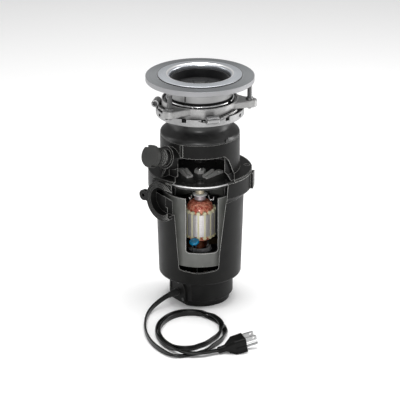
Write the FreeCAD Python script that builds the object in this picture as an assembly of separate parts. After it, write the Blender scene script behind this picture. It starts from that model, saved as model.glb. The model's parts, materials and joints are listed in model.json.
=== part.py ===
import FreeCAD, Part
import math
import os

from FreeCAD import Placement, Rotation, Vector

# A kitchen garbage disposal, shown as a display model with windows cut in its front, so that the
# grind chamber and the motor can be seen. Millimetres, +Z up, origin at the centre of the base's
# underside. The front is -Y. An azimuth is counted from +X, so the front is at -90 degrees.

# ---- driving dimensions -------------------------------------------------------------------------
RIM_R = 57.15              # sink flange, 4-1/2 inches across
RIM_TOP = 327.6
THROAT_R = 43.2            # inside of the sink flange's sleeve
SLEEVE_R = 44.6
SLEEVE_BOTTOM = 286.0
PLATE_R = 73.7             # backup flange
PLATE_Z = (317.6, 324.9)
GASKET_Z = (324.4, 325.75)  # the gasket lies in a shallow recess of the backup flange
SNAP_R = 45.2
SNAP_Z = 294.0
RING_R = 52.0              # upper mounting ring
RING_Z = (278.0, 293.5)
EAR_AZIMUTHS = (-6.5, -126.5, 113.5)
EAR_Z = (283.4, 292.8)
BOLT_CIRCLE_R = 67.4
BOLT_R = 3.3
FIT = 0.05                 # radial clearance of a running fit
LOCK_R = 60.0              # lower mounting ring
LOCK_Z = (270.3, 280.8)
LUG_AZIMUTHS = (-74.0, 166.0, 46.0)
NECK_R = 42.0
HOUSING_R = 54.5
CREASE_Z = 242.3           # parting line between the dome and the upper housing
BAND_R = 71.3
BAND_TOP = 193.3
BAND_LOW = 167.0
SHROUD_TOP = 157.8
SHROUD_R = (60.3, 59.2, 56.9)
SHROUD_BOTTOM = 38.3
BASE_R = 45.9
BASE_FOOT_R = 41.0
CAN_R = 52.3
CAN_Z = (63.8, 163.6)
TABLE_R = 58.5             # turntable
TABLE_Z = (181.0, 184.0)
CORE_R = 21.7              # armature laminations
CORE_Z = (96.2, 128.4)
SLOTS = 15
SLOT_WIDTH = 2.3
SLOT_FLOOR_R = 15.8
SHAFT_R = 5.5
SPOUT_AZIMUTH = -135.0
OUTLET_Z = 162.0
OUTLET_REACH = 75.7        # axis of the unit to the outlet's face
OUTLET_BORE_R = 19.5
OUTLET_FLOOR = 65.0        # axis to the wall that closes the outlet against the motor
INLET_TILT = 18.0
INLET_CAP = Vector(-67.6, -67.6, 233.0)
FACET = 36.2               # axis to the flat on the base
FACET_AZIMUTH = -143.13
EXIT_ACROSS = 0.47         # the cord's exit, measured along the flat from its middle
EXIT_Z = 15.4
COVER_THICK = 2.5          # terminal cover
SCREW_AZIMUTHS = (4.0, 64.0, 124.0, 184.0)
SCREW_CIRCLE_R = 64.5
BUTTON_AT = Vector(0, 26, 0)
IMPELLER_PIVOT = Vector(-25.2, 3.2, 0)
IMPELLER_HEADINGS = (-65.3, -133.0)
IMPELLER_REACH = 27.5      # pivot to the lug's tip
THROUGH_BOLTS = (40.0, 140.0)
THROUGH_CIRCLE_R = 45.0
BRUSH_AZIMUTHS = (20.0, 200.0)
COMMUTATOR_R = 9.6
COMMUTATOR_Z = (75.5, 84.2)
CORD_WIDTH = 7.4           # a flat cord, lying on its edge
CORD_THICK = 3.6
FLOOR_LIE = CORD_WIDTH / 2  # height of its centre line on the floor
LEAD = [(-32.28, -24.8, EXIT_Z), (-37.6, -28.8, 15.2), (-46.6, -35.2, 13.2), (-55.5, -42.4, 9.8),
        (-63.5, -51.5, 6.4), (-69.6, -63.5, 4.2), (-73.2, -79.5, FLOOR_LIE),
        (-75.0, -99.0, FLOOR_LIE), (-75.2, -119.0, FLOOR_LIE), (-72.6, -139.5, FLOOR_LIE),
        (-66.6, -160.5, FLOOR_LIE), (-57.5, -179.5, FLOOR_LIE), (-46.0, -193.0, FLOOR_LIE),
        (-33.0, -199.5, FLOOR_LIE)]
COIL_CENTRE = Vector(-12.0, -131.0, 0)
COIL_HALF_X = (36.0, 50.0)  # inside and outside of the loose turns
COIL_HALF_Y = (44.0, 72.0)
COIL_HEIGHT = 15.4
PLUG_START = Vector(25.0, -188.4, 4.8)
PLUG_HEADING = 18.7
PLUG_PITCH = 9.0
PLUG_FACE = 36.0           # collar's end to the face that the blades leave
PLUG_BLADE_UP = 6.5        # the blades above the cord's line
PLUG_PIN_UP = -5.2
PLUG_LOW = -7.9
PLUG_TOP = 10.6
Z_AXIS = Vector(0, 0, 1)


# ---- helpers --------------------------------------------------------------------------------------
def unit(azimuth, tilt=0.0):
    """The direction at an azimuth, tilted up from level."""
    a = math.radians(azimuth)
    t = math.radians(tilt)
    return Vector(math.cos(a) * math.cos(t), math.sin(a) * math.cos(t), math.sin(t))


def polar(radius, azimuth, z=0.0):
    """The point at a radius from the axis."""
    return unit(azimuth) * radius + Vector(0, 0, z)


def rounded_edges(corners, closed=True):
    """Straight runs joined by tangent arcs. A corner is a point and its radius."""
    count = len(corners)
    ends = []
    for i, (point, radius) in enumerate(corners):
        before = corners[i - 1][0]
        after = corners[(i + 1) % count][0]
        free_end = not closed and i in (0, count - 1)
        if radius <= 0 or free_end:
            ends.append((point, None, point))
            continue
        arriving = (point - before).normalize()
        leaving = (after - point).normalize()
        half = arriving.getAngle(leaving) / 2
        setback = radius * math.tan(half)
        inward = (leaving - arriving).normalize()
        middle = point + inward * (radius / math.cos(half) - radius)
        ends.append((point - arriving * setback, middle, point + leaving * setback))
    edges = []
    for i, (start, middle, end) in enumerate(ends):
        if middle is not None:
            edges.append(Part.Arc(start, middle, end).toShape())
        if i == count - 1 and not closed:
            break
        following = ends[(i + 1) % count][0]
        if end.distanceToPoint(following) > 1e-6:
            edges.append(Part.LineSegment(end, following).toShape())
    return edges


def corner_list(points, place):
    """Turn (a, b) or (a, b, radius) into 3-D corners."""
    return [(place(p[0], p[1]), p[2] if len(p) > 2 else 0.0) for p in points]


def turned(points):
    """A solid of revolution about Z from an (r, z, corner radius) outline."""
    wire = Part.Wire(rounded_edges(corner_list(points, lambda r, z: Vector(r, 0, z))))
    return Part.Face(wire).revolve(Vector(0, 0, 0), Z_AXIS, 360)


def ring(outer, inner, low, high):
    return turned([(inner, low), (outer, low), (outer, high), (inner, high)])


def disc(radius, low, high):
    return Part.makeCylinder(radius, high - low, Vector(0, 0, low))


def plate(points, low, high):
    """A flat plate from an (x, y, corner radius) outline."""
    wire = Part.Wire(rounded_edges(corner_list(points, lambda x, y: Vector(x, y, low))))
    return Part.Face(wire).extrude(Vector(0, 0, high - low))


def window(points, back=-15.0):
    """What the cutaway removes: an (x, z, corner radius) outline, from the front to `back`."""
    front = -115.0
    wire = Part.Wire(rounded_edges(corner_list(points, lambda x, z: Vector(x, front, z))))
    return Part.Face(wire).extrude(Vector(0, back - front, 0))


def rod(start, direction, length, radius):
    return Part.makeCylinder(radius, length, start, direction)


def tube(start, direction, length, outer, inner):
    return rod(start, direction, length, outer).cut(rod(start, direction, length, inner))


def block(azimuth, near, far, width, low, high, offset=0.0):
    """A box that reaches out from the axis at an azimuth."""
    box = Part.makeBox(far - near, width, high - low, Vector(near, offset - width / 2, low))
    box.rotate(Vector(0, 0, 0), Z_AXIS, azimuth)
    return box


def turn(shape, azimuth):
    copy = shape.copy()
    copy.rotate(Vector(0, 0, 0), Z_AXIS, azimuth)
    return copy


def join(first, *others):
    return first.fuse(list(others)).removeSplitter()


def wire_run(corners, radius):
    """A round wire or strip edge that follows a rounded path."""
    edges = rounded_edges(corners, closed=False)
    path = Part.Wire(edges)
    start = corners[0][0]
    heading = corners[1][0] - start
    section = Part.Wire([Part.Circle(start, heading, radius).toShape()])
    return path.makePipeShell([section], True, False)


def sector(azimuth, half_angle, radius, low, high):
    """A wedge about the axis."""
    pie = Part.makeCylinder(radius, high - low, Vector(0, 0, low), Z_AXIS, 2 * half_angle)
    pie.rotate(Vector(0, 0, 0), Z_AXIS, azimuth - half_angle)
    return pie


# ---- what the cutaway removes ---------------------------------------------------------------------
OUTER_WINDOW = window([(-29.8, 223), (33.3, 223, 3), (38.5, 216), (49, 185), (49, 175), (-39, 175),
                       (-39, 188.5), (-29.8, 196)])
INNER_WINDOW = window([(-29.8, 223), (33.3, 223), (33.3, 199), (43.6, 185), (43.6, 175),
                       (-39, 175), (-39, 188), (-29.8, 195)])
BAND_WINDOW = window([(-38.5, 200), (-37, 140), (35, 140), (36.3, 164), (38.5, 200)])
SPOUT_WINDOW = window([(-47.6, 180.5), (-47.6, 151), (-44.2, 150), (-44.2, 141.0), (-36.5, 140),
                       (-36.5, 180.5)], back=-45.0)
SHROUD_WINDOW = window([(-36.8, 170), (-28.6, 60, 4), (-2, 56.6, 60), (25.2, 60.5, 4), (27, 87, 30),
                        (36.6, 170)])
CAN_WINDOW = window([(-19.2, 170), (-19.2, 84.5, 4.5), (24.4, 84.5, 4.5), (24.4, 170)])
FRAME_WINDOW = window([(-37, 200), (-37, 140), (36, 140), (36, 200)], back=0.5)

nodes = {}


# ---- sink mount -----------------------------------------------------------------------------------
def sink_mount():
    nodes["sink_flange"] = turned([
        (THROAT_R, SLEEVE_BOTTOM), (THROAT_R, 316.0, 6), (41.7, 321.5, 3), (41.7, 324.8, 2.2),
        (44.4, RIM_TOP, 2.6), (50.0, RIM_TOP - 0.2, 8), (RIM_R - 0.3, RIM_TOP - 1.2, 0.7),
        (RIM_R, 325.75, 0.3), (SLEEVE_R, 325.75), (SLEEVE_R, 298.2),
        (SLEEVE_R - 0.75, 297.4), (SLEEVE_R - 0.75, 292.0), (SLEEVE_R, 291.2),
        (SLEEVE_R, SLEEVE_BOTTOM)])
    slot = block(-116.5, 40, 50, 1.8, 299.5, 312)
    nodes["sink_flange"] = nodes["sink_flange"].cut(slot)
    nodes["flange_gasket"] = ring(RIM_R + 0.35, SLEEVE_R + 0.7, *GASKET_Z)
    low, high = PLATE_Z
    recess_r = RIM_R + 0.75
    nodes["backup_flange"] = turned([
        (SLEEVE_R + 0.5, low), (PLATE_R, low, 1.0), (PLATE_R, high, 0.7), (recess_r, high),
        (recess_r, GASKET_Z[0]), (SLEEVE_R + 0.5, GASKET_Z[0])])
    snap_ring()
    upper_mount_ring()
    mount_bolts()
    lower_mount_ring()
    nodes["cushion_ring"] = turned([
        (NECK_R + 0.4, 272.2), (57.2, 272.2, 1), (57.2, 276.2, 2), (47.0, 276.8, 3),
        (44.4, 285.6, 1), (39.5, 285.6, 0.6), (39.5, 272.9), (NECK_R + 0.4, 272.9)])
    splash_guard()


def snap_ring():
    """A split wire ring in the sleeve's groove, with a turned-out end."""
    wire_r = 1.2
    gap_low, gap_high = -36.0, -22.0
    arc = Part.Arc(polar(SNAP_R, gap_high, SNAP_Z), polar(SNAP_R, 151, SNAP_Z),
                   polar(SNAP_R, gap_low - 0.01, SNAP_Z))
    start = polar(SNAP_R, gap_high, SNAP_Z)
    section = Part.Wire([Part.Circle(start, unit(gap_high + 90), wire_r).toShape()])
    hoop = Part.Wire([arc.toShape()]).makePipeShell([section], True, False)
    end = polar(SNAP_R, gap_low, SNAP_Z)
    tips = [Part.makeSphere(wire_r * 1.1, end), Part.makeSphere(wire_r * 1.1, start),
            Part.makeSphere(1.7, polar(SNAP_R + 0.5, -102, SNAP_Z - 0.6))]
    nodes["snap_ring"] = join(hoop, *tips)


def upper_mount_ring():
    """The cast ring with three bolt ears and three sloping tracks."""
    low, high = RING_Z
    body = turned([
        (50.0, low), (RING_R, low, 0.6), (RING_R, high, 0.9), (49.8, high, 0.9), (49.8, 291.4),
        (46.4, 291.4, 0.5), (46.4, 289.0, 0.5), (50.0, 289.0)])
    pieces = []
    ear_low, ear_high = EAR_Z
    outline = [(46.5, -21), (57, -13.5, 8), (68, -8.8, 8.6), (77.2, -8.4, 7.6), (77.2, 8.4, 7.6),
               (68, 8.8, 8.6), (57, 13.5, 8), (46.5, 21)]
    for azimuth in EAR_AZIMUTHS:
        ear = plate(outline, ear_low, ear_high)
        upright = [e for e in ear.Edges if abs(e.BoundBox.ZLength) < 1e-6
                   and e.BoundBox.XMax > 50]
        ear = ear.makeFillet(1.4, upright)
        ear = ear.cut(disc(50.6, ear_low - 1, ear_high + 1))
        pieces.append(turn(ear, azimuth))
    for azimuth in (-46.0, 74.0, 194.0):
        pieces.append(sloping_track(azimuth))
    body = join(body, *pieces)
    for azimuth in EAR_AZIMUTHS:
        body = body.cut(rod(polar(BOLT_CIRCLE_R, azimuth, ear_low - 5), Z_AXIS, 20, BOLT_R + FIT))
    nodes["upper_mount_ring"] = body


def sloping_track(azimuth):
    """One sloping track with cross ridges, which the lower ring's lips climb."""
    span = 17.0
    middle_z = 281.5
    track = ring(57.0, 51.0, middle_z - 1.2, middle_z + 1.2).common(
        sector(azimuth, span, 80, middle_z - 5, middle_z + 5))
    ridges = [block(azimuth + step, 52.5, 57.0, 1.2, middle_z, middle_z + 1.8)
              for step in (-13.5, -9, -4.5, 0, 4.5, 9, 13.5)]
    track = join(track, *ridges)
    track.rotate(Vector(0, 0, middle_z), unit(azimuth), 8.5)
    return track


def mount_bolts():
    """Three bolts in the ears, each with a lock nut on the ear's top."""
    pitch = 1.5
    low = 280.0
    top = PLATE_Z[0] - 0.05
    nuts = []
    for name, azimuth in zip(("right", "left", "rear"), EAR_AZIMUTHS):
        outline = [(0, low), (2.4, low, 0.4), (BOLT_R, low + 1.2)]
        z = low + 2
        while z < top - 3:
            outline += [(BOLT_R, z), (BOLT_R - 0.45, z + pitch / 2)]
            z += pitch
        outline += [(BOLT_R, z), (BOLT_R, top - 1), (2.6, top), (0, top)]
        bolt = turned(outline).cut(Part.makeBox(8, 1.2, 1.4, Vector(-4, -0.6, low - 0.1)))
        bolt.translate(polar(BOLT_CIRCLE_R, azimuth))
        nodes["mount_bolt_" + name] = bolt
        nut = Part.makeCylinder(5.2, 3.2, Vector(0, 0, EAR_Z[1])).common(
            Part.makeCone(6.2, 4.2, 3.6, Vector(0, 0, EAR_Z[1])))
        nut = nut.cut(rod(Vector(0, 0, EAR_Z[1] - 1), Z_AXIS, 8, BOLT_R + FIT))
        nut.translate(polar(BOLT_CIRCLE_R, azimuth))
        nuts.append(nut)
    nodes["bolt_nuts"] = Part.Compound(nuts)


def lower_mount_ring():
    """The sheet-metal locking ring with slots and three rolled lugs for a turning bar."""
    low, high = LOCK_Z
    body = turned([
        (46.5, low), (LOCK_R, low, 2.0), (LOCK_R, high, 0.4), (58.2, high, 0.4),
        (58.2, low + 1.6, 1.0), (46.5, low + 1.6)])
    slots = [block(az, 55, 64, 5.6, 274.0, 278.4) for az in (-155, -139, -25.8, 22, 78, 128)]
    slots += [block(az, 55, 64, 7.0, 275.8, 284) for az in (-111, -52, 8, 68, 138, 188)]
    slots.append(block(-87, 55, 64, 2.6, 277.5, 284))
    body = body.cut(slots)
    lug_z = 281.0
    lug_length = 16.5
    lug_bore = 3.7
    lug_channel = 4.6
    lugs = []
    bores = []
    for azimuth in LUG_AZIMUTHS:
        along = unit(azimuth + 90)
        start = polar(61.2, azimuth, lug_z) - along * (lug_length / 2)
        roll = tube(start, along, lug_length, 5.3, lug_bore)
        bores.append(rod(start, along, lug_length, lug_bore))
        bores.append(rod(start - along * 20, along, 20, lug_channel))
        bores.append(rod(start + along * lug_length, along, 20, lug_channel))
        seam = block(azimuth, 61.0, 67.5, lug_length + 2, lug_z + 1.6, lug_z + 2.8)
        tab = block(azimuth, 58.5, 59.6, lug_length - 1, low + 5, lug_z - 4.2)
        lugs.append(join(roll.cut(seam), tab))
    nodes["lower_mount_ring"] = join(body, *lugs).cut(bores)


def splash_guard():
    """The lift-out rubber baffle: a cuff, a crowned web and eight slits."""
    body = turned([
        (41.2, 286.0, 0.5), (41.2, 320.5, 0.8), (39.6, 320.5, 0.6), (39.6, 306.5, 2),
        (31.0, 308.4, 8), (22.0, 307.8, 8), (9.5, 301.0, 0.6), (9.5, 299.4, 0.6),
        (22.0, 305.8, 8), (31.0, 306.6, 8), (39.6, 302.0, 2), (39.6, 286.0, 0.5)])
    slits = [block(45 * k + 22.5, 8, 30, 1.0, 298, 312) for k in range(8)]
    nodes["splash_guard"] = body.cut(slits)


# ---- housings -------------------------------------------------------------------------------------
def housings():
    neck_in = NECK_R - 3
    dome = turned([
        (neck_in, 272.6, 0.6), (NECK_R, 272.6, 0.6), (NECK_R, 256.6, 7), (HOUSING_R, 246.3, 6),
        (HOUSING_R, CREASE_Z + 0.15, 0.4), (51.6, CREASE_Z + 0.15), (51.6, 245.0, 4),
        (neck_in, 255.0, 5)])
    tab = block(-48.6, 51.8, 55.6, 5.0, CREASE_Z + 0.15, 247.5)
    nodes["hopper_dome"] = join(dome, tab)
    upper_housing()
    nodes["hopper_liner"] = turned([
        (49.4, 241.6), (49.4, 193.6), (56.4, 187.0), (58.4, 187.0), (51.2, 193.8), (51.2, 241.6)
        ]).cut(INNER_WINDOW)
    grind_housing()
    lower_shroud()
    base_cap()


def inlet_axis():
    return unit(SPOUT_AZIMUTH, INLET_TILT)


def upper_housing():
    """The upper shell with its flange, and the dishwasher inlet on a rounded boss."""
    body = turned([
        (51.7, CREASE_Z - 0.15), (51.7, 195.0), (57.2, 189.6), (BAND_R, 189.6),
        (BAND_R, BAND_TOP - 0.7), (BAND_R - 0.7, BAND_TOP), (HOUSING_R, BAND_TOP),
        (HOUSING_R, CREASE_Z - 0.65), (HOUSING_R - 0.5, CREASE_Z - 0.15)])
    inside = turned([(0, 180), (59.0, 180), (59.0, 187.9), (51.8, 195.0), (51.8, 260), (0, 260)])
    axis = inlet_axis()
    root = INLET_CAP - axis * 52
    pad = rod(root, axis, 21.5, 15.5).cut(inside)
    stub = rod(root, axis, 46.5, 11.7)
    ribs = [rod(INLET_CAP - axis * back, axis, 1.8, 12.6) for back in (22.5, 18.5, 14.5)]
    gusset_face = Part.Face(Part.makePolygon([
        Vector(53, -1.4, 214), Vector(67.3, -1.4, 193), Vector(53, -1.4, 193), Vector(53, -1.4, 214)]))
    gusset = turn(gusset_face.extrude(Vector(0, 2.8, 0)), SPOUT_AZIMUTH - 6.4)
    upright = block(-117.0, 53.5, 55.3, 4.0, 224, CREASE_Z - 0.6)
    body = join(body, pad, stub.cut(inside), *ribs, gusset, upright)
    body = body.cut(rod(root, axis, 60, 9.4))
    recesses = [rod(polar(SCREW_CIRCLE_R, az, 190.8), Z_AXIS, 5, 4.0) for az in SCREW_AZIMUTHS]
    holes = [rod(polar(SCREW_CIRCLE_R, az, 185), Z_AXIS, 12, 2.2) for az in SCREW_AZIMUTHS]
    nodes["upper_housing"] = body.cut(recesses + holes).cut(OUTER_WINDOW)


def grind_housing():
    """The wide band with the discharge outlet, its bolt ear and the ribbed bolt boss."""
    wall = 2.8
    inner_r = BAND_R - wall
    neck_r = 60.8
    band = turned([
        (0, SHROUD_TOP + 0.2), (neck_r, SHROUD_TOP + 0.2), (BAND_R - 1.0, BAND_LOW - 0.6),
        (BAND_R, BAND_LOW + 1.0), (BAND_R, 189.4), (0, 189.4)])
    out = unit(SPOUT_AZIMUTH)
    side = unit(SPOUT_AZIMUTH - 90)
    centre = Vector(0, 0, OUTLET_Z)
    face = centre + out * OUTLET_REACH
    flange_back = face - out * 6
    spout = rod(centre + out * 40, out, OUTLET_REACH - 42, 23.6)
    collar = rod(flange_back, out, 6, 27.6)
    ear = rod(flange_back + side * 34, out, 6, 7.4)
    bridge = block(SPOUT_AZIMUTH, OUTLET_REACH - 6, OUTLET_REACH, 16, OUTLET_Z - 6.4, OUTLET_Z + 6.4,
                   -28)
    rail = block(SPOUT_AZIMUTH, 60, 72.5, 38, 183.6, 189.1)
    rib_boss = block(-9, 60, 74.6, 15, BAND_LOW + 0.3, 189.1)
    grooves = [block(-9, 73.4, 80, 1.6, BAND_LOW, 190, offset) for offset in (-5.2, -2.4)]
    body = join(band, rib_boss.cut(grooves), spout, join(collar, bridge, ear), rail)
    hollow = turned([
        (0, SHROUD_TOP - 40), (neck_r - wall, SHROUD_TOP - 40), (neck_r - wall, SHROUD_TOP + 1),
        (inner_r, BAND_LOW + 2), (inner_r, 195), (0, 195)])
    posts = [rod(polar(SCREW_CIRCLE_R, az, 170), Z_AXIS, 30, 4.4) for az in SCREW_AZIMUTHS]
    body = body.cut(hollow.cut(posts))
    body = body.cut(rod(centre + out * OUTLET_FLOOR, out, 60, OUTLET_BORE_R))
    rings = [tube(face - out * 1.2, out, 3, 25.6, 24.2), tube(face - out * 1.2, out, 3, 22.8, 21.4)]
    ear_hole = rod(face - out * 10 + side * 34, out, 20, 2.9)
    screw_holes = [rod(polar(SCREW_CIRCLE_R, az, 176), Z_AXIS, 20, 1.9) for az in SCREW_AZIMUTHS]
    body = body.cut(rings + [ear_hole] + screw_holes)
    nodes["grind_housing"] = body.cut(BAND_WINDOW).cut(SPOUT_WINDOW)
    screws = []
    for azimuth in SCREW_AZIMUTHS:
        screw = turned([(0, 177.5), (1.85, 177.5, 0.5), (1.85, 190.9), (3.6, 190.9, 0.3),
                        (3.4, 192.9, 0.8), (0, 193.0)])
        screw = screw.cut([Part.makeBox(4.4, 0.9, 1.4, Vector(-2.2, -0.45, 191.8)),
                           Part.makeBox(0.9, 4.4, 1.4, Vector(-0.45, -2.2, 191.8))])
        screw.translate(polar(SCREW_CIRCLE_R, azimuth))
        screws.append(screw)
    nodes["housing_screws"] = Part.Compound(screws)


def lower_shroud():
    """The tall tapering outer cover of the motor."""
    wall = 2.8
    top, mid, low = SHROUD_R
    body = turned([
        (top, SHROUD_TOP, 0.4), (mid, 113.0, 300), (low, SHROUD_BOTTOM, 4.0), (38.0, SHROUD_BOTTOM),
        (38.0, SHROUD_BOTTOM + wall), (low - wall, SHROUD_BOTTOM + wall, 2.0),
        (mid - wall, 113.0, 300), (top - wall, SHROUD_TOP)])
    out = unit(SPOUT_AZIMUTH)
    spout_room = rod(Vector(0, 0, OUTLET_Z) + out * 40, out, 50, 24.0)
    nodes["lower_shroud"] = body.cut(spout_room).cut(SHROUD_WINDOW)


def facet_box(near, far, half_width, low, high, offset=0.0):
    return block(FACET_AZIMUTH, near, far, 2 * half_width, low, high, offset)


def base_cap():
    """The stepped end cap with a flat for the terminal cover and a slotted side fin."""
    top = SHROUD_BOTTOM - 0.1
    body = turned([
        (0, 0), (BASE_FOOT_R, 0, 0.8), (BASE_FOOT_R + 0.4, 7.0), (BASE_R, 10.4, 1.0),
        (BASE_R, top, 0.4), (0, top)])
    cavity = turned([(0, 3.0), (37.6, 3.0), (38.4, 9.0), (43.1, 12.5), (43.1, top + 1), (0, top + 1)])
    keep = facet_box(-60, FACET - 3.0, 60, -1, 60)
    body = body.cut(cavity.common(keep))
    body = body.cut(facet_box(FACET, 70, 60, -1, 60))
    body = body.cut(Part.makeBox(20, 40, 60, Vector(-62.4, -22, -1)))
    body = body.cut(Part.makeBox(1.9, 60, 25, Vector(-40.3, -35, 11.5)))
    body = body.cut([disc(9.0, -1, 5), rod(BUTTON_AT + Vector(0, 0, -1), Z_AXIS, 6, 5.3)])
    inside_exit = exit_point() - unit(FACET_AZIMUTH) * 8
    body = body.cut(rod(inside_exit, unit(FACET_AZIMUTH), 16, 4.6))
    nodes["base_cap"] = body
    terminal_cover()
    nodes["overload_protector"] = Part.makeBox(20, 14, 20, Vector(-10, 19, 8.6))
    nodes["reset_button"] = turned([
        (0, 0.9), (4.6, 0.9, 1.0), (4.6, 3.3), (5.8, 3.3), (5.8, 4.4), (2.0, 4.4), (2.0, 6.2, 0.4),
        (0, 6.2)])
    nodes["reset_button"].translate(Vector(BUTTON_AT.x, BUTTON_AT.y, 0))


def exit_point():
    """Where the cord leaves the terminal cover's outer face."""
    return on_facet(EXIT_ACROSS, EXIT_Z, 0.1 + COVER_THICK)


def on_facet(across, z, out=0.0):
    """A point on the flat: `across` runs towards the front right."""
    return unit(FACET_AZIMUTH) * (FACET + out) + unit(FACET_AZIMUTH + 90) * across + Vector(0, 0, z)


def terminal_cover():
    """The plate over the wiring box, with a rounded shoulder and two screws."""
    outline = [(-12.5, 3.2, 2), (17.0, 3.2, 3), (17.0, 25.0, 14), (6.0, 35.5, 9), (-12.5, 35.5, 2)]
    corners = [(on_facet(p[0], p[1], 0.1), p[2]) for p in outline]
    cover = Part.Face(Part.Wire(rounded_edges(corners))).extrude(unit(FACET_AZIMUTH) * COVER_THICK)
    cover = cover.cut(rod(on_facet(EXIT_ACROSS, EXIT_Z, -1), unit(FACET_AZIMUTH), 8, 4.6))
    screws = []
    for across, z in ((2.0, 31.0), (13.0, 8.0)):
        head = rod(on_facet(across, z, COVER_THICK + 0.1), unit(FACET_AZIMUTH), 1.1, 2.3)
        stem = rod(on_facet(across, z, -4), unit(FACET_AZIMUTH), COVER_THICK + 4.2, 1.3)
        cover = cover.cut(rod(on_facet(across, z, -1), unit(FACET_AZIMUTH), 6, 1.3))
        nodes["base_cap"] = nodes["base_cap"].cut(
            rod(on_facet(across, z, -4), unit(FACET_AZIMUTH), 5, 1.3))
        screws.append(join(head, stem))
    nodes["terminal_cover"] = cover
    nodes["cover_screws"] = Part.Compound(screws)


# ---- grind chamber --------------------------------------------------------------------------------
def grind_parts():
    shredder = ring(68.0, 59.4, 177.2, 186.8)
    teeth = [block(12 * k + 4, 57, 62.6, 3.4, 176, 184.6) for k in range(30)]
    holes = [rod(polar(50, 12 * k - 2, 181.2), unit(12 * k - 2), 30, 1.5) for k in range(30)]
    posts = [rod(polar(SCREW_CIRCLE_R, az, 170), Z_AXIS, 24, 4.7) for az in SCREW_AZIMUTHS]
    nodes["grind_ring"] = shredder.cut(teeth + holes + posts).cut(BAND_WINDOW)
    table = turned([
        (0, TABLE_Z[0]), (TABLE_R - 3.2, TABLE_Z[0], 1), (TABLE_R - 2.4, 179.6), (TABLE_R, 179.6, 0.4),
        (TABLE_R, TABLE_Z[1] + 0.4, 0.7), (TABLE_R - 2.6, TABLE_Z[1], 1.4), (0, TABLE_Z[1])])
    drains = [rod(polar(45.5, az, 170), Z_AXIS, 30, 2.0) for az in range(0, 360, 20)]
    drains += [block(az, 49.5, 55, 2.2, 170, 200) for az in range(10, 370, 20)]
    table = table.cut(drains)
    domes = []
    for azimuth in (-90, 90):
        bump = Part.makeSphere(9.5, Vector(0, 0, 0))
        bump.translate(polar(43 if azimuth > 0 else 38, azimuth, TABLE_Z[1] - 6.2))
        domes.append(bump.common(disc(TABLE_R, TABLE_Z[1] - 0.5, 200)))
    table = join(table, *domes)
    table = table.cut(disc(SHAFT_R + 0.02, 170, 200))
    pivots = (IMPELLER_PIVOT, Vector(-IMPELLER_PIVOT.x, -IMPELLER_PIVOT.y, 0))
    for pivot in pivots:
        table = table.cut(rod(pivot + Vector(0, 0, 170), Z_AXIS, 30, 2.0))
    nodes["turntable"] = table
    nodes["impeller_rivets"] = Part.Compound([
        turned([(0, 179.6), (3.4, 179.6, 0.6), (3.4, 180.95), (2.0, 180.95), (2.0, 186.9), (4.4, 186.9),
                (4.2, 188.2, 1.0), (0, 188.6)]).translated(pivot) for pivot in pivots])
    nodes["impeller_a"] = impeller(pivots[0], IMPELLER_HEADINGS[0])
    nodes["impeller_b"] = impeller(pivots[1], IMPELLER_HEADINGS[1])
    nut = Part.makeCylinder(9.0, 5.0, Vector(0, 0, TABLE_Z[1])).common(
        Part.Face(Part.makePolygon([polar(8.0, 60 * k + 10, TABLE_Z[1]) for k in range(7)])).extrude(
            Vector(0, 0, 6)))
    nut = nut.common(Part.makeCone(11.5, 6.2, 5.4, Vector(0, 0, TABLE_Z[1])))
    nodes["turntable_nut"] = nut.cut(disc(SHAFT_R - 1.48, 180, 195))


def impeller(pivot, heading):
    """A swivelling steel lug: a flat foot with two upright walls."""
    foot_z = TABLE_Z[1] + 0.3
    tip = IMPELLER_REACH
    foot = plate([(-7.5, -4.6, 4), (tip, -4.6, 1.5), (tip, 4.6, 1.5), (-7.5, 4.6, 4)],
                 foot_z, foot_z + 2.2)
    walls = []
    for side in (-1, 1):
        y = side * 3.7
        face = Part.Face(Part.Wire(rounded_edges([
            (Vector(5.5, y - 0.9, foot_z + 1), 0), (Vector(tip, y - 0.9, foot_z + 1), 0),
            (Vector(tip, y - 0.9, foot_z + 3.4), 1.2), (Vector(7.0, y - 0.9, foot_z + 7.4), 1.5)])))
        walls.append(face.extrude(Vector(0, 1.8, 0)))
    lug = join(foot, *walls)
    lug = lug.cut(rod(Vector(0, 0, 180), Z_AXIS, 20, 2.06))
    lug.rotate(Vector(0, 0, 0), Z_AXIS, heading)
    lug.translate(pivot)
    return lug


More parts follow.
